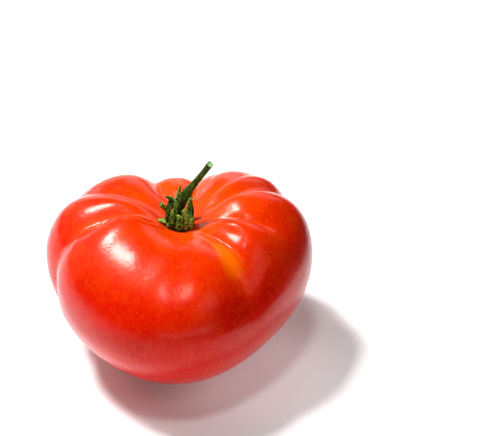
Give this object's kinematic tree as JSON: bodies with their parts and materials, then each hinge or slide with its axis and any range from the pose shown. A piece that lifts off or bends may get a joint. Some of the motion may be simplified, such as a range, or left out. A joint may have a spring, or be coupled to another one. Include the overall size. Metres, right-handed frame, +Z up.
{
  "type": "tomato",
  "caption": "Ribbed beefsteak tomato, wider than tall, with soft lobes, a hollow round the stem, an upright dried calyx and a bent green stalk; it rests on a small flat spot.",
  "frame": {"origin": "on the resting plane, below the middle of the fruit as seen from above", "axes": "+Z up, along the stem axis; -Y towards the side that the picture shows; +X to that side's right"},
  "size_m": [0.1007, 0.1029, 0.0861],
  "materials": {
    "skin": "smooth glossy waxy red skin over firm flesh, more orange near the stem",
    "leaf": "matte, dried, finely hairy dark green with paler edges",
    "stem": "matte, finely bumpy and hairy dark green, pale at the cut end"
  },
  "bodies": {
    "root": {"fruit": "skin", "calyx": "leaf", "stalk": "stem"}
  },
  "joints": []
}
